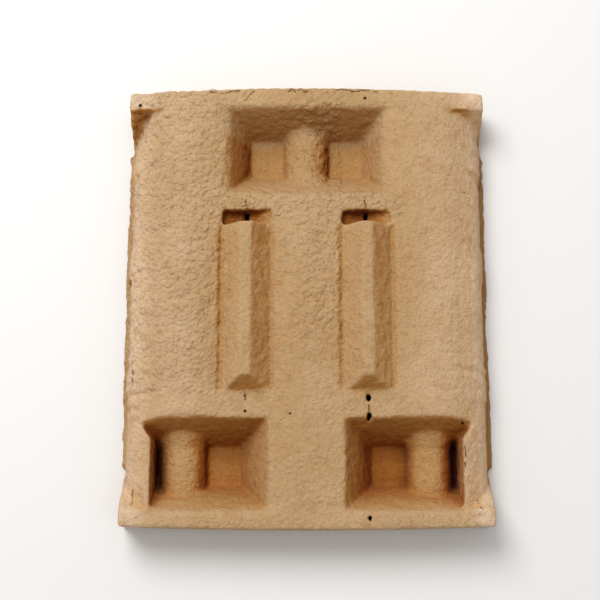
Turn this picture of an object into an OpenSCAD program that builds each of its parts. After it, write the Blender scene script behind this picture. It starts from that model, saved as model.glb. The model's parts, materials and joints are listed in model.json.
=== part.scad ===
// Moulded-pulp shipper tray for three bottles laid side by side, the middle
// one turned end for end. One piece of even wall, drawn as it lies with its
// open side down: rim on z = 0, the outer, felt side up, two necks at -Y and
// one at +Y. The wall is the outer form less the same form set in by "wall".

/* [Tray] */
// Width between the corner posts at the rim
base_w = 284; // [280:1:290]
// Width between the corner posts at the top
top_w = 280; // [274:1:284]
// Distance from the middle to the +Y corners, at the rim
back_y = 167.7; // [165:0.1:170]
// Distance from the middle to the -Y corners, at the rim
front_y = 170.5; // [168:0.1:173]
// How far the +Y end bows out between its corners
back_bow = 5.3; // [1:0.1:7]
// How far the -Y end bows out between its corners
front_bow = 2.5; // [1:0.1:5]
// Height of the plateau and the end strips
plateau_h = 44; // [40:0.5:50]
// Thickness of the moulded wall
wall = 4; // [3:0.25:4.5]
// Width of the flat strip along each end
strip_w = 12; // [11:0.5:14]

/* [Bottle vaults] */
// Distance between the bottles' axes
pitch = 93; // [92:0.5:94]
// Half-width of a vault, from the bottle's axis to the side wall
vault_half = 47.5; // [47:0.25:48.5]
// How squarely a side shoulder turns, 2 being an ellipse
shoulder_power = 2.4; // [2.2:0.1:3]
// How far the plateau dips between two vaults
valley_dip = 2.2; // [0:0.1:2.5]

/* [Neck pockets] */
// Height of a pocket's floor, outside
floor_h = 4; // [4:0.25:5]
// Rounding of a pocket's rim
rim_r = 6; // [4.5:0.5:8]
// Rounding where the two outer vaults roll over into the +Y pocket
flank_r = 17; // [8:1:20]
// Radius of a neck, outside
neck_r = 18.3; // [18:0.1:20]
// Distance of the two outer necks' axes from the middle
neck_x = 95.3; // [93:0.1:96]
// Height of a neck's axis above the rim
neck_h = 2.5; // [1:0.5:3]
// Radius where a neck starts at the bottle's shoulder
root_r = 24.5; // [22:0.5:26]

/* [Cushion bars] */
// Width of a bar across its foot
bar_w = 34.4; // [32:0.2:36]
// Width of a bar's flat ridge
ridge_w = 7.6; // [7:0.2:9]
// Height of a bar's ridge above the rim
bar_h = 56; // [52:0.5:58]
// Where a bar starts, at its hipped -Y end
bar_y0 = -69.5; // [-72:0.5:-66]
// Where a bar ends, at its steep +Y end
bar_y1 = 60.5; // [58:0.5:62]
// Length of the hip
hip_run = 11.5; // [10:0.5:16]
// Width of the groove along each side of a bar
groove_w = 4; // [2.5:0.1:4.5]
// Depth of that groove below the plateau
groove_d = 5.5; // [2:0.25:6]
// Length of the trough at a bar's steep end
pit_l = 11.5; // [11:0.5:13]
// Depth of that trough along its middle
pit_d = 11; // [8:0.5:12]

/* [Sides] */
// How far the torn rim lip stands out past a side wall
lip_w = 4.5; // [3:0.5:5]
// Thickness of the rim lip
lip_t = 3.5; // [3:0.25:4]
// Width of a shallow rib that crosses a side wall
rib_w = 24; // [20:1:26]
// How far such a rib stands proud
rib_t = 1.4; // [0.8:0.1:1.8]

/* [Hidden] */
$fn = 64;

BIG = 200;                 // reaches past every outline
EPS = 0.5;                 // overlap of joined forms
RIB_Y = [119, 32, -63];    // middles of the side ribs
LIP_Y = [-126, 128];       // ends of the rim lips, between the gussets
HOLE_Z = 6;                // cutters for the pinholes start here, inside the hollow

// Where the end strips meet the vaults, and where the gussets reach the rim
BACK_STRIP = back_y - 2 - strip_w;
FRONT_STRIP = 1.5 + strip_w - front_y;
BACK_NOTCH = 133;
FRONT_NOTCH = -130;
GUSSET_W = 15;             // width of a gusset's face along its strip
PIT_Z = 31;                // height of its inner end at the -X +Y corner, a deep pit
GUSSET_Z = 41;             // and at the other corners
BAR_FOOT = plateau_h - valley_dip;

// Neck pockets as [x0, x1, y0, y1] at the floor and at the plateau
BACK_FLOOR = [-44.7, 44.7, 109.6, 139.6];
BACK_TOP = [-62.5, 62.5, 84, 156.4];
FRONT_FLOOR = [51, 116.7, -139.2, -109.1];
FRONT_TOP = [27.5, 117.6, -159.4, -88];
// Three corners of the slanting face at the front pockets' outer back corners
CORNER = [[117, -106, 38], [128.5, -90, 33], [117, -103, 15]];

// Pinholes and cracks right through the wall, as [x, y, length x, length y]
HOLES = [
    [-46.5, 69.5, 3.6, 6.5],
    [46.5, 69.5, 3.6, 6],
    [-47, -74.5, 1.6, 7],
    [-46.4, -84.5, 2, 2],
    [46.6, -74.5, 3.2, 5.6],
    [47.2, -88.5, 3.4, 6],
    [46.8, -163.6, 3, 3.6],
    [46.5, 163.2, 2.4, 2],
    [-12.6, -86.5, 1.6, 1.8]
];
// Slit cracks beside the corner posts at the +Y end
POST_CRACKS = [
    [-127.5, 160, 2, 8.5],
    [132, 161, 1.6, 7]
];

// Height of the plateau over its width
function crown(x) = plateau_h - valley_dip * (1 - cos(360 * x / pitch)) / 2;

// Half a side shoulder, from the crown down to the rim
function shoulder(grow, inset) = [
    for (t = [84:-6:0])
        [pitch + (vault_half + grow - inset) * pow(cos(t), 2 / shoulder_power),
         (plateau_h - inset) * pow(sin(t), 2 / shoulder_power)]
];

function flip(points) = [for (i = [len(points) - 1:-1:0]) [-points[i].x, points[i].y]];

// The whole section over the three vaults, set in by inset
function section(grow, inset) = let (
    side = concat(shoulder(grow, inset), [[pitch + vault_half + grow - inset, -inset]]),
    top = [for (x = [-pitch:pitch / 12:pitch]) [x, crown(x) - inset]]
) concat(flip(side), top, side);

// Outline of an end, bowed out between its corners
function bowed(half, end, bow) = [
    for (k = [-1:1 / 8:1]) [k * half, end + bow * (1 - k * k)]
];

// One side of a pocket's section, from its floor up to its rounded rim
function pocket_side(at_floor, at_top, dir, round, inset) = let (
    rise = plateau_h - floor_h,
    slope = atan2(rise, abs(at_top - at_floor)),
    reach = round * tan(slope / 2),
    foot = at_floor + dir * (inset / sin(slope) - inset / tan(slope)),
    centre = [at_top + dir * reach, plateau_h - round],
    steps = ceil(round / 3) + 2
) concat(
    [[foot, floor_h - inset]],
    [for (k = [0:steps]) let (turn = 90 + slope * (1 - k / steps))
        centre + (round - inset) * [dir * cos(turn), sin(turn)]],
    [[centre.x, BIG]]
);

function reversed(points) = [for (i = [len(points) - 1:-1:0]) points[i]];

// Both sides of a pocket's section
function pocket_span(floor0, floor1, top0, top1, round, inset) = concat(
    reversed(pocket_side(floor0, top0, -1, round, inset)),
    pocket_side(floor1, top1, 1, round, inset)
);

// A prism along Y from an outline in X and Z, and one along X from Y and Z
module along_y(y0, y1, points) {
    translate([0, y1, 0])
        rotate([90, 0, 0])
            linear_extrude(y1 - y0) polygon(points);
}

module along_x(x0, x1, points) {
    translate([x0, 0, 0])
        rotate([90, 0, 90])
            linear_extrude(x1 - x0) polygon(points);
}

// Outline of the tray seen from above, drawn in towards the top
module plan_block(inset) {
    half = base_w / 2 - inset;
    outline = concat(
        bowed(half, back_y - inset, back_bow),
        reversed(bowed(half, -front_y + inset, -front_bow))
    );
    draft = top_w / base_w;
    translate([0, 0, -inset])
        linear_extrude(plateau_h, scale = [draft, (2 + draft) / 3], slices = 1) polygon(outline);
}

module vaults(inset) {
    along_y(-BIG, BIG, section(0, inset));
}

// Shallow bands across the side walls, fading out at the vaults' crowns
module side_ribs(inset) {
    for (y = RIB_Y)
        along_y(y - rib_w / 2 + inset, y + rib_w / 2 - inset, section(rib_t, inset));
}

// Flat strip along an end, as high as the plateau out to the corner posts
module end_strip(y0, y1, inset) {
    translate([-BIG, y0, -inset])
        cube([2 * BIG, y1 - y0, plateau_h]);
}

// All that lies below, or above, the plane through three points, set in by inset
module below(a, b, c, inset, over = false) {
    raw = cross(b - a, c - a);
    up = raw / norm(raw) * sign(raw.z);
    translate(a - inset * up)
        rotate([0, acos(up.z), atan2(up.y, up.x)])
            translate([-BIG / 2, -BIG / 2, over ? 0 : -BIG])
                cube([BIG, BIG, BIG]);
}

// Inner end of a gusset's face, and where the face meets the rim
function gusset_pit(strip_y, pit_z) = [top_w / 2 - GUSSET_W, strip_y, pit_z];
function gusset_foot(notch_y) = [base_w / 2, notch_y, 0];

// Gusset from a corner post down to the rim, its face turned inwards
module gusset(strip_y, notch_y, pit_z, inset) {
    post = [top_w / 2, strip_y, plateau_h];
    intersection() {
        below(post, gusset_foot(notch_y), gusset_pit(strip_y, pit_z), inset);
        translate([pitch + vault_half / 2, min(strip_y, notch_y) - EPS, -inset])
            cube([BIG, abs(strip_y - notch_y) + 2 * EPS, plateau_h]);
    }
}

// Room at the -X +Y corner, where the vault's shoulder falls away to the deep pit
module fall(inset) {
    fade = [pitch + vault_half * 0.9, 2 * BACK_NOTCH - BACK_STRIP + 6, plateau_h * 0.53];
    mirror([1, 0, 0])
        below(gusset_pit(BACK_STRIP, PIT_Z), gusset_foot(BACK_NOTCH), fade, inset, over = true);
}

module gussets(inset) {
    for (side = [0, 1])
        mirror([side, 0, 0]) {
            gusset(BACK_STRIP, BACK_NOTCH, side == 1 ? PIT_Z : GUSSET_Z, inset);
            gusset(FRONT_STRIP, FRONT_NOTCH, GUSSET_Z, inset);
        }
}

// Space over a neck: sloping walls, a flat floor and rounded rims
module pocket(at_floor, at_top, side_r, inset) {
    intersection() {
        along_y(-BIG, BIG,
            pocket_span(at_floor[0], at_floor[1], at_top[0], at_top[1], side_r, inset));
        along_x(-BIG, BIG,
            pocket_span(at_floor[2], at_floor[3], at_top[2], at_top[3], rim_r, inset));
    }
}

// A front pocket's outer back corner, which runs out over the falling shoulder
module pocket_corner(inset) {
    intersection() {
        along_x(pitch, BIG,
            pocket_span(FRONT_FLOOR[2], FRONT_FLOOR[3], FRONT_TOP[2], FRONT_TOP[3], rim_r, inset));
        below(CORNER[0], CORNER[1], CORNER[2], inset, over = true);
    }
}

module pockets(inset) {
    pocket(BACK_FLOOR, BACK_TOP, flank_r, inset);
    for (side = [0, 1])
        mirror([side, 0, 0]) {
            pocket(FRONT_FLOOR, FRONT_TOP, rim_r, inset);
            pocket_corner(inset);
        }
}

// Neck channel with a short cone where it leaves the bottle's shoulder
module neck(x, dir, inset) {
    start = dir > 0
        ? BACK_TOP[2] * 0.65 + BACK_FLOOR[2] * 0.35
        : FRONT_TOP[3] * 0.65 + FRONT_FLOOR[3] * 0.35;
    turn = dir > 0 ? -90 : 90;
    r = neck_r - inset;
    translate([x, start, neck_h])
        rotate([turn, 0, 0]) {
            cylinder(r = r, h = BIG);
            cylinder(r1 = root_r - inset, r2 = r, h = 16);
        }
    translate([x - r, dir > 0 ? start : start - BIG, -inset])
        cube([2 * r, BIG, neck_h + inset]);
}

module necks(inset) {
    intersection() {
        union() {
            neck(0, 1, inset);
            neck(neck_x, -1, inset);
            neck(-neck_x, -1, inset);
        }
        translate([-BIG, -BIG, -inset])
            cube([2 * BIG, 2 * BIG, plateau_h]);
    }
}

// Roof-shaped bar over the valley between two vaults
module bar(inset) {
    half = bar_w / 2;
    sink = groove_d + inset + EPS;
    lean = (half - ridge_w / 2) / (bar_h - BAR_FOOT);
    lean_in = inset * sqrt(1 + lean * lean);
    roof = [
        [half + lean * sink - lean_in, BAR_FOOT - sink],
        [ridge_w / 2 + lean * inset - lean_in, bar_h - inset],
        [-ridge_w / 2 - lean * inset + lean_in, bar_h - inset],
        [-half - lean * sink + lean_in, BAR_FOOT - sink]
    ];
    hip = hip_run / (bar_h - BAR_FOOT);
    hip_in = inset * sqrt(1 + hip * hip);
    side_view = [
        [bar_y0 - hip * sink + hip_in, BAR_FOOT - sink],
        [bar_y1 - inset, BAR_FOOT - sink],
        [bar_y1 - inset, bar_h - 2 - inset],
        [bar_y1 - 1.5 - inset, bar_h - inset],
        [bar_y0 + hip_run - hip * inset + hip_in, bar_h - inset]
    ];
    intersection() {
        along_y(-BIG, BIG, roof);
        along_x(-BIG, BIG, side_view);
    }
}

// Narrow grooves along a bar, and the trough across its steep end
module bar_cuts(inset) {
    half = bar_w / 2;
    for (dir = [-1, 1])
        translate([dir * (half + groove_w / 2), (bar_y0 + bar_y1) / 2, BIG / 2 + BAR_FOOT - groove_d - inset])
            cube([groove_w + 2 * inset, bar_y1 - bar_y0 + 2 * inset, BIG], center = true);
    side = half + groove_w / 2 + inset;
    along_y(bar_y1 - inset, bar_y1 + pit_l + inset, [
        [-side, BIG],
        [-side, BAR_FOOT - pit_d * 0.6 - inset],
        [0, BAR_FOOT - pit_d - inset],
        [side, BAR_FOOT - pit_d * 0.2 - inset],
        [side, BIG]
    ]);
}

// The outer form, or the same form set in by the wall for the hollow side
module form(inset) {
    difference() {
        intersection() {
            plan_block(inset);
            union() {
                difference() {
                    union() {
                        difference() {
                            union() {
                                vaults(inset);
                                side_ribs(inset);
                            }
                            fall(inset);
                        }
                        end_strip(BACK_STRIP + inset, BIG, inset);
                        end_strip(-BIG, FRONT_STRIP - inset, inset);
                        gussets(inset);
                    }
                    pockets(inset);
                }
                necks(inset);
            }
        }
        for (x = [-pitch / 2, pitch / 2])
            translate([x, 0, 0]) bar_cuts(inset);
    }
    for (x = [-pitch / 2, pitch / 2])
        translate([x, 0, 0]) bar(inset);
}

// Thin lip left by the mould along each side of the rim
module rim_lips() {
    for (side = [0, 1])
        mirror([side, 0, 0])
            translate([pitch + vault_half - 1, LIP_Y[0], 0])
                cube([lip_w + 1, LIP_Y[1] - LIP_Y[0], lip_t]);
}

module through_holes() {
    for (h = concat(HOLES, POST_CRACKS))
        translate([h[0], h[1], HOLE_Z + BIG / 2])
            cube([h[2], h[3], BIG], center = true);
}

module pulp_tray() {
    color([0.74, 0.6, 0.43])
        difference() {
            union() {
                form(0);
                rim_lips();
            }
            form(wall);
            through_holes();
        }
}

pulp_tray();
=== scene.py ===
"""Moulded-pulp tray for three bottles: a felted wall of even thickness, torn along
its rim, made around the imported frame, with a plain studio."""
import json
import math

import bpy
import numpy as np
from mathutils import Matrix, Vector, noise

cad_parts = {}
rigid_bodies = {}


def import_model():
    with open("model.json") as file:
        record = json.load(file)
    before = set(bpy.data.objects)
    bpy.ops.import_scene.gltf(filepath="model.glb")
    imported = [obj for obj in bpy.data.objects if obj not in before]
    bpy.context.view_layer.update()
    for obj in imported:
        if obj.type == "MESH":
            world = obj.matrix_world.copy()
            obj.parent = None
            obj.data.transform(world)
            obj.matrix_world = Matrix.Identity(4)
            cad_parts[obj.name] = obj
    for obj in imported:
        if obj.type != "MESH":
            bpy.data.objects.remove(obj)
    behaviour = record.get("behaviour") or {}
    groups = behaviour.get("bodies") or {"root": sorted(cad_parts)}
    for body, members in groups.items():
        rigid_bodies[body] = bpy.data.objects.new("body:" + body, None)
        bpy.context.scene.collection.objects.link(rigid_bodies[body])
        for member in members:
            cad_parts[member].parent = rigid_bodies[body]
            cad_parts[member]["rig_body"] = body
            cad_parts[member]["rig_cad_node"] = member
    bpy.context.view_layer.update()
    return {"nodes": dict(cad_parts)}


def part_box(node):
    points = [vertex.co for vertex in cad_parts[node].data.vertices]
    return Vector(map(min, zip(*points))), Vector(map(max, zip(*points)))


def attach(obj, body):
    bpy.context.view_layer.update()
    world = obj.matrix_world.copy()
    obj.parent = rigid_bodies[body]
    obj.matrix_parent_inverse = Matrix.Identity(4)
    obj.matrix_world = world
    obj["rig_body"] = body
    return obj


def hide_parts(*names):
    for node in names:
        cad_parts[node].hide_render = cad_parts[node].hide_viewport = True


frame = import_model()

bl_info = {
    "name": "Pulp bottle tray",
    "version": (1, 0, 0),
    "blender": (4, 5, 0),
    "location": "3D View > Sidebar > Pulp Tray",
    "description": "Makes a moulded-pulp bottle tray around its packed frame",
    "category": "Object",
}

TRAY_LOW, TRAY_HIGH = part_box("pulp_tray")
MM = 0.001
RIM_Z = TRAY_LOW[2]        # the plane the rim rests on
PLATEAU_Z = 0.044          # top of the plateau that the bars stand on, as the frame has it
BAR_X = 46.5               # middle of each bar, in millimetres from the tray's own

# The height map that tells how closed in a point lies: its cells, the number of
# directions in which it is searched, and how many cells away
CELL = 1.5 * MM
COMPASS = 16
REACHES = (1.5, 2.2, 3.2, 4.6, 6.6, 9.5, 14, 20, 29, 42)

# The soft key light: where it stands, as seen from the tray, how far off and how wide
KEY_WAY = (-0.305, 0.454, 0.837)
KEY_REACH = 1.7
KEY_SIZE = 1.0

# What the camera and the key light look at
LOOKED_AT = (-0.0051, 0.00286, 0.03)
LIT_AT = (0, 0, 0.02)

# Painted shade: tints that multiply the pulp's colour, by how closed in it lies
OCCLUSION_SHADE_TINTS = (
    (0.0, (1, 1, 1, 1)), (0.1, (1, 1, 1, 1)), (0.25, (1, 0.97, 0.92, 1)),
    (0.5, (0.96, 0.84, 0.64, 1)), (0.72, (0.76, 0.46, 0.2, 1)), (1.0, (0.12, 0.03, 0.01, 1)))

# Painted shade in the same way, by how far it faces away from the key light
TURNED_SHADE_TINTS = (
    (0.0, (1, 1, 1, 1)), (0.16, (1, 1, 1, 1)), (0.37, (1, 0.87, 0.71, 1)),
    (0.45, (0.92, 0.74, 0.49, 1)), (0.66, (0.85, 0.62, 0.31, 1)),
    (0.8, (0.8, 0.54, 0.24, 1)), (1.0, (0.5, 0.25, 0.07, 1)))

# Painted shade at the bottom of a pinhole
PIN_SHADE = (0.02, 0.009, 0.004, 1)

# Cracks in the felt side, each a line of points in millimetres on the plan
CRACKS = (
    ((-79, 168.5), (-71, 167.8), (-66, 166.6), (-60, 168.6), (-52, 169.5)),
    ((-49, 160.5), (-46, 163.5), (-43.5, 166.5), (-41, 170.5)),
    ((-15, 168.2), (-11, 171), (-8, 167.8), (-4, 170.6), (-1, 168.2), (4, 170)),
    ((22, 168.8), (27, 170.6), (33, 169.8), (38, 168.4), (44, 170), (52, 169.2), (57, 168.8)),
    ((-46.5, 73.5), (-47.5, 78), (-46, 83.5)),
    ((46.5, 73.5), (45.5, 79), (47, 84.5)),
    ((-47, -69.5), (-46.2, -74), (-47.6, -79)),
    ((-130.5, -142), (-131.5, -150), (-130, -156)),
    ((-134.5, -44), (-133.8, -55), (-134.6, -64)),
    ((127.5, -150), (129.5, -156), (127, -162)),
    ((118.6, -110), (119.2, -118), (118.4, -127)),
    ((46.4, -79), (47.4, -84), (46.6, -86)),
)

# Creases across the side shoulders, in the same way: a dent with low lips beside it
CREASES = (
    ((-142, 93), (-136, 100), (-130, 105), (-122, 109), (-114, 111)),
    ((-143, 17), (-137, 22), (-130, 24), (-123, 25)),
    ((-143, -74), (-136, -71), (-129, -71.5), (-122, -70), (-113, -69)),
    ((-140, -84), (-134, -82), (-127, -83)),
    ((141, 96), (135, 102), (128, 105)),
    ((142, -58), (135, -54), (126, -53), (112, -52)),
)

# Pinholes as places in millimetres on the plan, and their radii
PINS = ((-46.4, -84.5, 1.4), (-12.6, -86.5, 1.1), (46.5, 163.2, 1.4), (-46.6, -73, 1.3),
        (118, -93, 1.2), (124, 88, 0.8), (-131.5, 157, 1.6))


# ---------------------------------------------------------------- shader help

class Value:
    """A number socket of a shader. Sums on it add Math nodes."""

    def __init__(self, nodes, socket):
        self.nodes = nodes
        self.socket = socket

    def _math(self, operation, *values):
        return self.nodes.value("ShaderNodeMath", {"operation": operation}, *values)

    def __add__(self, other):
        return self._math("ADD", self, other)

    def __sub__(self, other):
        return self._math("SUBTRACT", self, other)

    def __mul__(self, other):
        return self._math("MULTIPLY", self, other)

    def __radd__(self, other):
        return self._math("ADD", other, self)

    def __rsub__(self, other):
        return self._math("SUBTRACT", other, self)

    def __rmul__(self, other):
        return self._math("MULTIPLY", other, self)

    def __abs__(self):
        return self._math("ABSOLUTE", self)

    def at_most(self, other):
        return self._math("MINIMUM", self, other)

    def at_least(self, other):
        return self._math("MAXIMUM", self, other)

    def between(self, low, high):
        """0 at low, 1 at high, eased in between. low may lie above high."""
        return self.nodes.value(
            "ShaderNodeMapRange", {"interpolation_type": "SMOOTHSTEP"}, self, low, high)


class Finish:
    """A material and the means to add nodes to it."""

    def __init__(self, name):
        self.material = bpy.data.materials.new(name)
        self.material.use_nodes = True
        self.tree = self.material.node_tree
        self.tree.nodes.clear()

    def add(self, kind, settings=None, *values, **named):
        """A node of that type: its settings first, then its sockets' values or links."""
        node = self.tree.nodes.new(kind)
        for key, setting in (settings or {}).items():
            if key == "stops":
                ramp = node.color_ramp
                while len(ramp.elements) < len(setting):
                    ramp.elements.new(0.5)
                for element, (place, colour) in zip(ramp.elements, setting):
                    element.position = place
                    element.color = colour
            else:
                setattr(node, key, setting)
        for key, value in list(enumerate(values)) + list(named.items()):
            target = node.inputs[key.replace("_", " ") if isinstance(key, str) else key]
            if isinstance(value, Value):
                self.tree.links.new(value.socket, target)
            elif isinstance(value, bpy.types.NodeSocket):
                self.tree.links.new(value, target)
            else:
                target.default_value = value
        return node

    def value(self, kind, settings, *values, out=0, **named):
        return Value(self, self.add(kind, settings, *values, **named).outputs[out])

    def mix(self, factor, a, b, blend="MIX"):
        """Two colours mixed by a number."""
        settings = {"data_type": "RGBA", "blend_type": blend, "clamp_factor": True}
        node = self.add("ShaderNodeMix", settings)
        for index, value in ((0, factor), (6, a), (7, b)):
            if isinstance(value, Value):
                self.tree.links.new(value.socket, node.inputs[index])
            elif isinstance(value, bpy.types.NodeSocket):
                self.tree.links.new(value, node.inputs[index])
            else:
                node.inputs[index].default_value = value
        return node.outputs[2]

    def place(self, scale=(1, 1, 1), turn=(0, 0, 0), shift=(0, 0, 0)):
        """Object coordinates, moved, turned and stretched."""
        where = self.add("ShaderNodeTexCoord").outputs["Object"]
        mapping = self.add("ShaderNodeMapping", {"vector_type": "POINT"}, where)
        mapping.inputs["Location"].default_value = shift
        mapping.inputs["Rotation"].default_value = turn
        mapping.inputs["Scale"].default_value = scale
        return mapping.outputs[0]

    def noise(self, where, size, detail=3.0, rough=0.55, distort=0.0):
        """Cloudy noise whose features are about size metres wide."""
        return self.value(
            "ShaderNodeTexNoise", {"noise_dimensions": "3D"}, Vector=where,
            Scale=1.0 / size, Detail=detail, Roughness=rough, Distortion=distort)

    def attribute(self, name):
        return self.value("ShaderNodeAttribute", {"attribute_name": name}, out="Fac")


# ------------------------------------------------------------------ mesh help

def deselect_all():
    if bpy.context.object and bpy.context.object.mode != "OBJECT":
        bpy.ops.object.mode_set(mode="OBJECT")
    bpy.ops.object.select_all(action="DESELECT")


def pick(piece):
    """Makes one object the only one selected, and the active one."""
    deselect_all()
    piece.select_set(True)
    bpy.context.view_layer.objects.active = piece


def finish_modifier(piece, kind, name, **settings):
    """Adds a modifier, sets it and applies it."""
    pick(piece)
    modifier = piece.modifiers.new(name, kind)
    for key, value in settings.items():
        setattr(modifier, key, value)
    bpy.ops.object.modifier_apply(modifier=modifier.name)


def points_of(mesh):
    flat = np.empty(len(mesh.vertices) * 3, np.float32)
    mesh.vertices.foreach_get("co", flat)
    return flat.reshape(-1, 3).astype(np.float64)


def normals_of(mesh):
    flat = np.empty(len(mesh.vertices) * 3, np.float32)
    mesh.vertex_normals.foreach_get("vector", flat)
    return flat.reshape(-1, 3).astype(np.float64)


def move_points(mesh, points):
    mesh.vertices.foreach_set("co", points.astype(np.float32).ravel())
    mesh.update()


def ramp(values, low, high):
    """0 at low, 1 at high, eased in between, for an array."""
    t = np.clip((values - low) / (high - low), 0.0, 1.0)
    return t * t * (3 - 2 * t)


def stretch(values, start, full, end, gone):
    """1 from full to end, eased in from start and out to gone, for an array."""
    return ramp(values, start, full) * (1 - ramp(values, end, gone))


def weigh(piece, name, weights):
    """A vertex group that holds the given weights, in 32 steps."""
    group = piece.vertex_groups.new(name=name)
    steps = np.round(np.clip(weights, 0, 1) * 32).astype(int)
    for step in range(33):
        members = np.nonzero(steps == step)[0]
        if len(members):
            group.add(members.tolist(), step / 32, "REPLACE")
    return group.name


def store(mesh, name, values):
    attribute = mesh.attributes.new(name, "FLOAT", "POINT")
    attribute.data.foreach_set("value", values.astype(np.float32))


def cloud(name, kind, size, **settings):
    """A procedural texture for a Displace modifier."""
    texture = bpy.data.textures.new(name, kind)
    texture.noise_scale = size
    for key, value in settings.items():
        setattr(texture, key, value)
    return texture


# ----------------------------------------------------------------- properties

class TRAY_PG_wall(bpy.types.PropertyGroup):
    """Sizes of the moulded wall's surface."""
    grid: bpy.props.FloatProperty(
        name="Grid", description="Spacing of the wall's mesh",
        default=1.3 * MM, min=1.0 * MM, max=4.0 * MM, unit="LENGTH", precision=5)
    soften: bpy.props.IntProperty(
        name="Soften", description="Passes that round the folds", default=9, min=0, max=40)
    felt: bpy.props.FloatProperty(
        name="Felt", description="Height of the felt side's wrinkles",
        default=2.3 * MM, min=0.0, unit="LENGTH", precision=5)
    peel: bpy.props.FloatProperty(
        name="Peel", description="Height of the fine orange-peel grain",
        default=0.8 * MM, min=0.0, unit="LENGTH", precision=5)
    warp: bpy.props.FloatProperty(
        name="Warp", description="How far the whole wall wanders from true",
        default=1.4 * MM, min=0.0, unit="LENGTH", precision=5)
    crease: bpy.props.FloatProperty(
        name="Crease", description="Depth of the creases across the side shoulders",
        default=1.1 * MM, min=0.0, unit="LENGTH", precision=5)
    torn: bpy.props.FloatProperty(
        name="Torn", description="Depth of the tears along the rim lip",
        default=2.2 * MM, min=0.0, unit="LENGTH", precision=5)
    triangles: bpy.props.IntProperty(
        name="Triangles", description="Most triangles in the finished wall",
        default=192000, min=20000, max=199000)


class TRAY_PG_pulp(bpy.types.PropertyGroup):
    """Colours of the pulp."""
    kraft: bpy.props.FloatVectorProperty(
        name="Kraft", description="Main colour of the pulp", subtype="COLOR",
        default=(0.466, 0.306, 0.161), min=0.0, max=1.0)
    pale: bpy.props.FloatVectorProperty(
        name="Pale", description="Colour of the bleached patches and high grain",
        subtype="COLOR", default=(0.585, 0.422, 0.26), min=0.0, max=1.0)
    deep: bpy.props.FloatVectorProperty(
        name="Deep", description="Colour of the damp patches and low grain",
        subtype="COLOR", default=(0.33, 0.165, 0.055), min=0.0, max=1.0)
    fleck: bpy.props.FloatVectorProperty(
        name="Fleck", description="Colour of the dark flecks and cracks",
        subtype="COLOR", default=(0.12, 0.055, 0.02), min=0.0, max=1.0)
    # painted sheen: the paler, greyer colour of the vaults' outer sides and shoulders
    dusty: bpy.props.FloatVectorProperty(
        name="Pale_sheen", description="Colour of the rubbed shoulders", subtype="COLOR",
        default=(0.72, 0.545, 0.39), min=0.0, max=1.0)
    fuzz: bpy.props.FloatProperty(
        name="Fuzz", description="Strength of the fibres' pale sheen",
        default=0.06, min=0.0, max=1.0, subtype="FACTOR")


class TRAY_PG_stage(bpy.types.PropertyGroup):
    """The studio's floor, lights and camera."""
    distance: bpy.props.FloatProperty(
        name="Distance", description="From the camera to what it looks at",
        default=0.87, min=0.2, unit="LENGTH")
    elevation: bpy.props.FloatProperty(
        name="Elevation", description="Camera's height over the horizon",
        default=math.radians(79.1), subtype="ANGLE")
    lens: bpy.props.FloatProperty(
        name="Lens", description="Focal length in millimetres", default=67.1, min=10)
    key: bpy.props.FloatProperty(
        name="Key", description="Power of the soft key light", default=19.3, unit="POWER")
    sky: bpy.props.FloatProperty(
        name="Sky", description="Strength of the even light all round", default=0.56)


# ---------------------------------------------------------- lines and pinholes

def line_fields(points, lines):
    """Signed distance to the nearest line in millimetres, and how open it is there."""
    flat = points[:, :2] / MM
    farthest, ease = 9.0, 2
    gap = np.full(len(flat), farthest)
    opened = np.zeros(len(flat))
    for places in lines:
        line = np.array(places, float)
        length = np.linalg.norm(np.diff(line, axis=0), axis=1)
        done = np.concatenate([[0.0], np.cumsum(length)])
        low, high = line.min(0) - farthest, line.max(0) + farthest
        near = np.nonzero(((flat > low) & (flat < high)).all(1))[0]
        for k in range(len(length)):
            start, along = line[k], (line[k + 1] - line[k]) / length[k]
            away = flat[near] - start
            run = away @ along
            side = away[:, 0] * along[1] - away[:, 1] * along[0]
            held = np.clip(run, 0, length[k])
            distance = np.hypot(side, run - held)
            closer = distance < np.abs(gap[near])
            index = near[closer]
            gap[index] = (np.where(side < 0, -1.0, 1.0) * distance)[closer]
            place = done[k] + run[closer]
            opened[index] = stretch(place, 0, ease, done[-1] - ease, done[-1])
    return gap, opened


def pins(points):
    """How far each point lies from the nearest pinhole, in that pinhole's radii."""
    away = np.full(len(points), 9.0)
    for x, y, radius in PINS:
        gap = np.hypot(points[:, 0] / MM - x, points[:, 1] / MM - y) / radius
        away = np.minimum(away, gap)
    return away


# ------------------------------------- regions of the wall, with x, y, z in millimetres

def felt_side(points, normals):
    """1 on the felt side, which faces out of the tray, and 0 on the hollow side."""
    x, y, z = points.T / MM
    side, end, up = normals[:, 0] * np.sign(x), normals[:, 1] * np.sign(y), normals[:, 2]
    upwards = ramp(up, -0.25, 0.15)
    # the upright walls' felt faces look out over the ends and sides, never inwards
    inwards = ramp(np.abs(y), 158, 161) * ramp(-end, 0.2, 0.4)
    upwards *= 1 - inwards * (1 - ramp(up, 0.1, 0.3))
    ends = ramp(np.abs(y), 162, 165) * ramp(end, 0.2, 0.4)
    sides = ramp(np.abs(x), 122, 126) * ramp(side, 0.2, 0.4)
    return np.maximum(upwards, np.maximum(ends, sides)) * ramp(z, 0.5, 1.5)


def upright(normals):
    """1 on upright faces, 0 on level ones."""
    return 1 - ramp(normals[:, 2], 0.4, 0.8)


def coarse(points):
    """How coarse the felt is, 0 to 1: most on the -X vault and by the bars' troughs."""
    x, y = points[:, :2].T / MM
    left_vault = ramp(-x, 55, 75) * ramp(y, -85, -60)
    middle = stretch(x, -25, 10, 26, 30) * ramp(y, -60, -10)
    band = stretch(y, 62, 70, 85, 92) * (1 - ramp(np.abs(x), 70, 80))
    return 0.4 + 0.6 * np.maximum(np.maximum(left_vault, middle), band)


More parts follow.
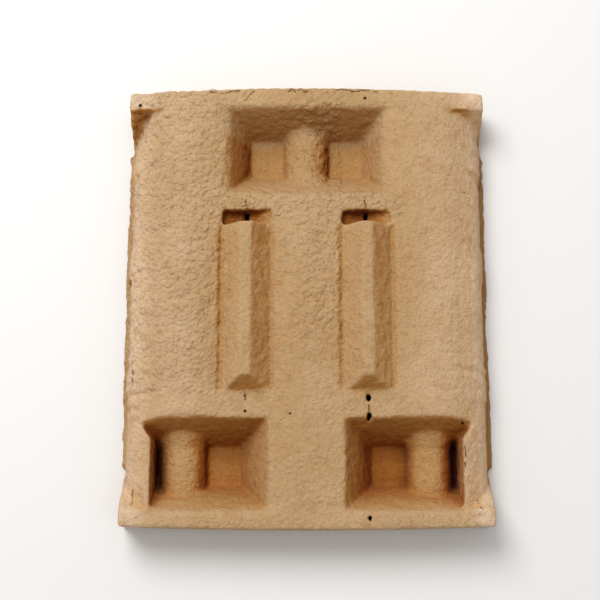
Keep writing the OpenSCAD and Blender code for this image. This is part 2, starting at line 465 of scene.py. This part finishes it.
def troughs(points):
    """1 in the steep half, the -X one, of the trough at each bar's +Y end, which gets a little
    painted shade.
    """
    x, y, z = points.T / MM
    across = stretch(np.sign(x) * BAR_X - x, -4, 3, 18.5, 21)
    return across * stretch(y, 58, 60, 70.5, 73) * (1 - ramp(z, 39.5, 43))


def slits(points):
    """1 in the deep slits between the outer necks and the side rails, which get near-black painted
    shade.
    """
    x, y, z = points.T / MM
    across = stretch(np.abs(x), 113.5, 115, 116.8, 118)
    return across * stretch(y, -140, -130, -112, -105) * (1 - ramp(z, 34, 39))


def sheen_painted(points):
    """How much painted sheen lightens the vaults' outer sides, most of all the shoulders."""
    x, _, z = points.T / MM
    wide = np.abs(x)
    vault, shoulder = 0.3 * ramp(wide, 70, 100), 0.7 * ramp(wide, 116, 132)
    return (vault + shoulder) * (1 - ramp(wide, 139, 142)) * ramp(z, 6, 20)


def worn(points):
    """Painted shade on the rim's lip, darker brown, weak along -X and strongest along +X, the side
    away from the light.
    """
    x, _, z = points.T / MM
    return ramp(np.abs(x), 136, 141.5) * (1 - ramp(z, 8, 22)) * np.where(x < 0, 0.15, 1.0)


# ------------------------------------------------------- how closed in a point lies, and the painted shade from it

def height_map(points):
    """Highest point over each cell of the plan, and the plan's low corner."""
    low = points[:, :2].min(0) - 4 * CELL
    size = np.ceil((points[:, :2].max(0) + 4 * CELL - low) / CELL).astype(int) + 1
    ground = np.zeros(size)
    spot = np.rint((points[:, :2] - low) / CELL).astype(int)
    np.maximum.at(ground, (spot[:, 0], spot[:, 1]), points[:, 2])
    # cells that no point fell in take their highest neighbour
    beside = np.max([np.roll(ground, way, (0, 1))
                     for way in ((1, 0), (-1, 0), (0, 1), (0, -1))], axis=0)
    return np.where(ground > 0, ground, beside), low


def ground_at(ground, spot, angle, reach):
    """The height map's value that many cells away from each spot, at that angle."""
    way = np.array([math.cos(angle), math.sin(angle)])
    at = np.clip(np.rint(spot + way * reach).astype(int), 0, np.array(ground.shape) - 1)
    return ground[at[:, 0], at[:, 1]]


def shelter(points, ground, low):
    """How closed in each point lies, 0 to 1, by the height map around it, for the painted shade.
    """
    spot = (points[:, :2] - low) / CELL
    closed = np.zeros(len(points))
    for k in range(COMPASS):
        angle = 2 * math.pi * k / COMPASS
        rise = np.zeros(len(points))
        for reach in REACHES:
            above = ground_at(ground, spot, angle, reach) - points[:, 2] - 0.6 * MM
            rise = np.maximum(rise, above / (reach * CELL))
        closed += rise / np.hypot(1, rise)
    return closed / COMPASS


def outline(points, ground, low):
    """1 within about 2 mm of the tray's outline on the plan."""
    spot = (points[:, :2] - low) / CELL
    bare = np.zeros(len(points))
    for k in range(8):
        beyond = ground_at(ground, spot, k * math.pi / 4, 1.7)
        bare = np.maximum(bare, beyond < 1 * MM)
    return bare


def painted_shade_by_region(points, normals, ground, low):
    """Painted shade from each point's closedness, made milder or stronger by region."""
    x, y, z = points.T / MM
    wide = np.abs(x)
    closed = shelter(points, ground, low)
    # painted shade milder in the +Y pocket, most of all on its end wall, and stronger in the +X
    # one
    closed *= (1 - 0.3 * ramp(y, 70, 90)) * (1 - 0.5 * ramp(y, 130, 138))
    closed *= 1 + 0.15 * ramp(x, 30, 50) * (1 - ramp(y, -110, -100))
    # the lip outside the walls is closed in too, but gets little painted shade
    closed *= 1 - 0.8 * ramp(wide, 133, 138) * (1 - ramp(z, 8, 20))
    # of the four corners, only the -X +Y one with its pit keeps its full painted shade
    pit_corner = (x < 0) & (y > 100)
    closed *= 1 - np.where(pit_corner, 0, 0.6) * ramp(wide, 128, 134)
    # painted shade: near black in the slits beside the outer necks, a little more in the troughs'
    # -X halves
    closed = np.maximum(closed, slits(points)) + 0.05 * troughs(points)
    # no painted shade on the outer faces of the ends, which lie open, though their own tops stand
    # over them
    return closed * (1 - upright(normals) * ramp(np.abs(y), 162.5, 166))


def turned(points, normals):
    """Painted shade: how far the felt faces away from the key light, inside the tray's outline."""
    x, y, z = points.T / MM
    away = KEY_WAY[2] - normals @ np.array(KEY_WAY)
    # painted shade deepest low down, on the flanks that face +X, which see the least light
    away += 0.45 * (1 - ramp(z, 12, 28)) * np.maximum(normals[:, 0], 0)
    # less painted shade on the +Y pocket's end wall and the +X shoulder, which stay brighter
    away *= 1 - 0.43 * ramp(y, 132, 138) * (1 - ramp(np.abs(x), 70, 80))
    away *= 1 - 0.6 * ramp(x, 124, 132)
    return 0.8 * away * (1 - ramp(np.abs(y), 166, 170))


# ------------------------------------------------------------------- the wall

def wall_solid():
    """A copy of the frame's own solid, free of the frame and with its seams closed."""
    piece = frame["nodes"]["pulp_tray"].copy()
    piece.data = piece.data.copy()
    piece.name = piece.data.name = "pulp_wall"
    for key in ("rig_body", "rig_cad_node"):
        if key in piece:
            del piece[key]
    piece.parent = None
    bpy.context.scene.collection.objects.link(piece)
    pick(piece)
    bpy.ops.object.mode_set(mode="EDIT")
    bpy.ops.mesh.select_all(action="SELECT")
    bpy.ops.mesh.remove_doubles(threshold=1e-6)
    bpy.ops.object.mode_set(mode="OBJECT")
    piece.data.materials.clear()
    return piece


def soften_folds(piece, passes):
    """Rounds the folds, less at the rim and on the bars."""
    height = points_of(piece.data)[:, 2]
    soft = 0.25 + 0.75 * ramp(height, 1 * MM, 8 * MM)
    soft *= 1 - 0.65 * ramp(height, PLATEAU_Z, PLATEAU_Z + 4 * MM)
    group = weigh(piece, "soft", soft)
    finish_modifier(piece, "SMOOTH", "folds", factor=0.5, iterations=passes, vertex_group=group)


def crease_sides(piece, depth):
    """Presses the creases into the side shoulders."""
    points, normals = points_of(piece.data), normals_of(piece.data)
    gap, opened = line_fields(points, CREASES)
    felt = felt_side(points, normals)
    dent = np.exp(-(gap / 2.4) ** 2) - 0.4 * np.exp(-((np.abs(gap) - 5) / 2.5) ** 2)
    points -= normals * (dent * opened * felt * depth)[:, None]
    move_points(piece.data, points)


def felt_skin(piece, settings):
    """Wrinkles and grain on the felt side, and a slight warp of the whole wall."""
    points, normals = points_of(piece.data), normals_of(piece.data)
    felt, height = felt_side(points, normals), points[:, 2]
    layers = (
        ("wrinkles", settings.felt, "NORMAL", felt * coarse(points) * ramp(height, 2 * MM, 8 * MM),
         cloud("wrinkles", "STUCCI", 5.5 * MM, stucci_type="PLASTIC", turbulence=7.0,
               noise_basis="ORIGINAL_PERLIN")),
        ("peel", settings.peel, "NORMAL", 0.25 + 0.75 * felt,
         cloud("peel", "CLOUDS", 2.6 * MM, noise_depth=1, noise_basis="IMPROVED_PERLIN")),
        ("sway", settings.warp, "Z", ramp(height, 3 * MM, 20 * MM),
         cloud("sway", "CLOUDS", 55 * MM, noise_depth=1, noise_basis="IMPROVED_PERLIN")),
    )
    for name, strength, direction, weights, texture in layers:
        finish_modifier(piece, "DISPLACE", name, texture=texture, strength=strength,
                        mid_level=0.5, direction=direction,
                        vertex_group=weigh(piece, name, weights))


def tear_rim(piece, depth):
    """Frays the lip along both sides and nibbles the rim's lower edge."""
    points = points_of(piece.data)
    edge = (ramp(np.abs(points[:, 0]) / MM, 137.5, 142.5)
            * (1 - ramp(points[:, 2] / MM, 4, 7)))
    for i in np.nonzero(edge > 0.01)[0]:
        x, y, z = points[i]
        side = np.sign(x)
        # tears about 36, 5 and 2 mm long
        slow = noise.noise(Vector((3.7 * side, y * 28, 0)))
        quick = noise.noise(Vector((9.1 * side, y * 190, z * 150)))
        fine = noise.noise(Vector((5.3 * side, y * 600, z * 500)))
        pull = edge[i] * depth * (0.15 + 0.9 * slow + 0.55 * quick + 0.35 * fine)
        points[i, 0] -= side * max(pull, 0)
        points[i, 2] += edge[i] * 0.25 * depth * quick * min(z / (2 * MM), 1)
    move_points(piece.data, points)
    rest_on_rim(piece)


def rest_on_rim(piece):
    """Lifts what hangs below the rim's plane back onto it."""
    points = points_of(piece.data)
    points[:, 2] = np.maximum(points[:, 2], RIM_Z)
    move_points(piece.data, points)


def thin_out(piece, most):
    """Brings the wall down to that many triangles, taking more from the hollow side."""
    bpy.context.view_layer.update()
    triangles = sum(len(p.vertices) - 2 for p in piece.data.polygons)
    points, normals = points_of(piece.data), normals_of(piece.data)
    group = weigh(piece, "keep", 1 - 0.75 * felt_side(points, normals))
    if triangles > most:
        finish_modifier(piece, "DECIMATE", "thin", ratio=most / triangles,
                        vertex_group=group, vertex_group_factor=0.6)


def store_fields(piece, ground, low):
    """Stores on the mesh what the finish needs to know of each point."""
    points, normals = points_of(piece.data), normals_of(piece.data)
    felt = felt_side(points, normals)
    gap, opened = line_fields(points, CRACKS)
    level = 1 - upright(normals)
    for name, values in (
            ("crack_gap", gap),
            ("crack_open", opened * felt),
            ("felt", felt),
            ("shelter", painted_shade_by_region(points, normals, ground, low) * felt),
            ("turned", turned(points, normals) * felt),
            ("outline", outline(points, ground, low) * level * felt),
            ("coarse", coarse(points)),
            ("pin", pins(points)),
            ("shoulder", sheen_painted(points) * felt),
            ("worn", worn(points))):
        store(piece.data, name, values)


def make_wall(settings):
    """The tray's wall, from the frame's own solid: softened folds and felted skin."""
    piece = wall_solid()
    finish_modifier(piece, "REMESH", "grid", mode="VOXEL", voxel_size=settings.grid)
    soften_folds(piece, settings.soften)
    crease_sides(piece, settings.crease)
    felt_skin(piece, settings)
    tear_rim(piece, settings.torn)
    ground, low = height_map(points_of(piece.data))
    thin_out(piece, settings.triangles)
    pick(piece)
    bpy.ops.object.shade_smooth()
    piece.vertex_groups.clear()
    rest_on_rim(piece)
    store_fields(piece, ground, low)
    return piece


# ----------------------------------------------------------------- the finish

def rgb(colour):
    """A colour property as a socket takes it."""
    return (*colour, 1)


def tinted(f, colour, attribute, stops):
    """The colour multiplied by a tint that follows an attribute."""
    tint = f.add("ShaderNodeValToRGB", {"stops": stops}, f.attribute(attribute))
    return f.mix(1.0, colour, tint.outputs["Color"], "MULTIPLY")


def flecks(f, where):
    """A few dark flecks, each in its own cell about 4 mm wide."""
    cells = f.add("ShaderNodeTexVoronoi", {"feature": "F1"}, Vector=where, Scale=230.0)
    dot = Value(f, cells.outputs["Distance"]).between(0.2, 0.08)
    chance = f.value("ShaderNodeSeparateColor", {}, cells.outputs["Color"])
    return dot * chance.between(0.985, 0.99)


def wire_imprint(f, where):
    """The mould's wire mesh, about 2 mm apart both ways."""
    wires = [f.value("ShaderNodeTexWave", {"wave_type": "BANDS", "bands_direction": way},
                     Vector=where, Scale=160.0, Distortion=0.4) for way in ("X", "Y")]
    return wires[0] * wires[1]


def pebbles(f, where):
    """Distance from the middles of the felt's pebbles, bent by a noise."""
    bent = f.add("ShaderNodeTexNoise", {"noise_dimensions": "3D"}, Vector=where,
                 Scale=190.0, Detail=2.0)
    bend = f.add("ShaderNodeVectorMath", {"operation": "MULTIPLY_ADD"}, bent.outputs["Color"],
                 (0.004, 0.004, 0.004), where)
    return f.value("ShaderNodeTexVoronoi", {"feature": "SMOOTH_F1"},
                   Vector=bend.outputs[0], Scale=290.0, Smoothness=0.35)


def pulp_finish(colours):
    """Kraft pulp: mottled, flecked and felted, with a fibrous, quite matt skin."""
    f = Finish("moulded_pulp")
    kraft, pale, deep = rgb(colours.kraft), rgb(colours.pale), rgb(colours.deep)
    fleck = rgb(colours.fleck)
    whole = f.place()
    other = f.place(shift=(3.1, 1.7, 0.4))
    felt, rough_felt = f.attribute("felt"), f.attribute("coarse")

    clouds = f.noise(whole, 0.06, 3)
    blotch = f.noise(other, 0.011, 4, 0.6)
    grain = f.noise(whole, 0.0034, 4, 0.62, 0.6)
    fine = f.noise(other, 0.0009, 3, 0.6)
    along = f.noise(f.place((1, 0.16, 0.5), (0, 0, 0.5)), 0.0009, 3, 0.6, 1.2)
    across = f.noise(f.place((0.16, 1, 0.5), (0, 0, -0.3)), 0.0009, 3, 0.6, 1.2)
    strands = along.between(0.62, 0.75).at_least(across.between(0.64, 0.76))

    colour = f.mix(clouds.between(0.35, 0.7) * 0.35, kraft, pale)
    # painted sheen: paler, greyer vault sides and shoulders, where the light grazes them
    sheen_mask = f.attribute("shoulder") * (0.55 + 0.45 * clouds.between(0.3, 0.7))
    colour = f.mix(sheen_mask * 0.85, colour, rgb(colours.dusty))
    # painted shade on the rim's lip, strongest along +X
    colour = f.mix(f.attribute("worn") * 0.7, colour, deep)
    colour = f.mix(blotch.between(0.48, 0.75) * 0.30, colour, deep)
    colour = f.mix(grain.between(0.52, 0.8) * 0.35, colour, pale)
    colour = f.mix(grain.between(0.46, 0.2) * 0.5, colour, deep)
    colour = f.mix(fine.between(0.5, 0.8) * 0.25, colour, pale)
    # painted shade: darker, deeper brown where the pulp lies closed in
    colour = tinted(f, colour, "shelter", OCCLUSION_SHADE_TINTS)
    # painted shade: deeper brown where the felt faces away from the key light
    colour = tinted(f, colour, "turned", TURNED_SHADE_TINTS)
    ragged = f.attribute("outline") * blotch.between(0.38, 0.52)
    colour = f.mix(ragged * 0.85, colour, deep)
    colour = f.mix(strands * 0.25, colour, pale)
    colour = f.mix(flecks(f, other) * 0.45, colour, fleck)

    # cracks, which wander up to 2.5 mm from their line and close here and there
    wobble = (f.noise(whole, 0.004, 3, 0.7) - 0.5) * 5.0
    gap = abs(f.attribute("crack_gap") + wobble)
    opened = f.attribute("crack_open") * f.noise(other, 0.005, 2).between(0.4, 0.52)
    crack = gap.between(0.55, 0.1) * opened
    halo = gap.between(2.2, 0.4) * opened
    colour = f.mix(halo * 0.25, colour, deep)
    colour = f.mix(crack * 0.55, colour, fleck)
    # pinholes, painted near black as the shade in their depth
    pin = (f.attribute("pin") + (fine - 0.5) * 0.8).between(1.2, 0.7) * felt
    colour = f.mix(pin * 0.95, colour, PIN_SHADE)

    height = (1 - pebbles(f, whole)) * 0.55 * rough_felt + grain * (0.3 + 0.3 * rough_felt)
    height = height + fine * 0.16 + strands * 0.06 + f.noise(whole, 0.0016, 3, 0.6) * 0.3
    imprint = wire_imprint(f, whole) * (1 - felt)
    height = height * (0.3 + 0.7 * felt) + imprint * 0.25 - crack * 0.7
    bump = f.add("ShaderNodeBump", {}, Strength=1.0, Distance=0.0033, Height=height)

    rough = (0.86 + (grain - 0.5) * 0.2).at_most(1.0)
    shader = f.add("ShaderNodeBsdfPrincipled", {"distribution": "MULTI_GGX"},
                   Base_Color=colour, Roughness=rough, Normal=bump.outputs[0])
    shader.inputs["Specular IOR Level"].default_value = 0.1
    shader.inputs["Sheen Weight"].default_value = colours.fuzz
    shader.inputs["Sheen Roughness"].default_value = 0.45
    shader.inputs["Sheen Tint"].default_value = (1.0, 0.95, 0.88, 1)
    f.add("ShaderNodeOutputMaterial", {}, shader.outputs[0])
    return f.material


class TRAY_OT_pulp_wall(bpy.types.Operator):
    """Make the moulded wall, the tray's one piece"""
    bl_idname = "tray.pulp_wall"
    bl_label = "Pulp wall"

    def execute(self, context):
        piece = make_wall(context.scene.tray_wall)
        piece.data.materials.append(pulp_finish(context.scene.tray_pulp))
        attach(piece, "root")
        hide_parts("pulp_tray")
        return {"FINISHED"}


# ------------------------------------------------------------------ the stage

def paper_floor():
    f = Finish("studio_floor")
    tooth = f.noise(f.place(), 0.004, 2)
    shade = f.mix(tooth * 0.02, (0.745, 0.74, 0.735, 1), (0.725, 0.72, 0.715, 1))
    shader = f.add("ShaderNodeBsdfPrincipled", {}, Base_Color=shade, Roughness=0.85)
    shader.inputs["Specular IOR Level"].default_value = 0.1
    f.add("ShaderNodeOutputMaterial", {}, shader.outputs[0])
    return f.material


def aim(thing, target):
    thing.rotation_euler = (Vector(target) - thing.location).to_track_quat("-Z", "Y").to_euler()


class TRAY_OT_stage(bpy.types.Operator):
    """Lay the floor and set up the soft lights and the camera"""
    bl_idname = "tray.stage"
    bl_label = "Stage"

    def execute(self, context):
        scene, stage = context.scene, context.scene.tray_stage
        deselect_all()
        bpy.ops.mesh.primitive_plane_add(size=8, location=(0, 0, -0.0002))
        floor = context.object
        floor.name = floor.data.name = "floor"
        bpy.ops.object.transform_apply(location=True, rotation=False, scale=False)
        floor.data.materials.append(paper_floor())

        key = bpy.data.lights.new("key_light", "AREA")
        key.shape, key.size, key.energy = "DISK", KEY_SIZE, stage.key
        key.color = (1.0, 0.985, 0.965)
        lamp = bpy.data.objects.new("key_light", key)
        scene.collection.objects.link(lamp)
        lamp.location = Vector(KEY_WAY) * KEY_REACH
        aim(lamp, LIT_AT)

        world = bpy.data.worlds.new("studio")
        scene.world = world
        world.use_nodes = True
        sky = world.node_tree.nodes["Background"]
        sky.inputs["Color"].default_value = (1.0, 0.995, 0.99, 1)
        sky.inputs["Strength"].default_value = stage.sky

        camera = bpy.data.objects.new("camera", bpy.data.cameras.new("camera"))
        scene.collection.objects.link(camera)
        camera.data.lens, camera.data.sensor_width = stage.lens, 36.0
        camera.data.dof.use_dof = False
        target = Vector(LOOKED_AT)
        back = Vector((0, -math.cos(stage.elevation), math.sin(stage.elevation)))
        camera.location = target + stage.distance * back
        aim(camera, target)
        scene.camera = camera
        scene.view_settings.view_transform = "Standard"
        scene.view_settings.look = "Medium High Contrast"
        return {"FINISHED"}


class TRAY_PT_panel(bpy.types.Panel):
    """Sizes, colours and steps of the tray"""
    bl_idname = "TRAY_PT_panel"
    bl_label = "Pulp tray"
    bl_space_type = "VIEW_3D"
    bl_region_type = "UI"
    bl_category = "Pulp Tray"

    def draw(self, context):
        for group in ("tray_wall", "tray_pulp", "tray_stage"):
            box = self.layout.box()
            settings = getattr(context.scene, group)
            for name in settings.__annotations__:
                box.prop(settings, name)
        for step in STEPS:
            self.layout.operator(step.bl_idname)


STEPS = (TRAY_OT_pulp_wall, TRAY_OT_stage)
CLASSES = (TRAY_PG_wall, TRAY_PG_pulp, TRAY_PG_stage, *STEPS, TRAY_PT_panel)


def register():
    for cls in CLASSES:
        bpy.utils.register_class(cls)
    bpy.types.Scene.tray_wall = bpy.props.PointerProperty(type=TRAY_PG_wall)
    bpy.types.Scene.tray_pulp = bpy.props.PointerProperty(type=TRAY_PG_pulp)
    bpy.types.Scene.tray_stage = bpy.props.PointerProperty(type=TRAY_PG_stage)


def unregister():
    del bpy.types.Scene.tray_wall
    del bpy.types.Scene.tray_pulp
    del bpy.types.Scene.tray_stage
    for cls in reversed(CLASSES):
        bpy.utils.unregister_class(cls)


def main():
    register()
    bpy.ops.tray.pulp_wall()
    bpy.ops.tray.stage()


if __name__ == "__main__":
    main()
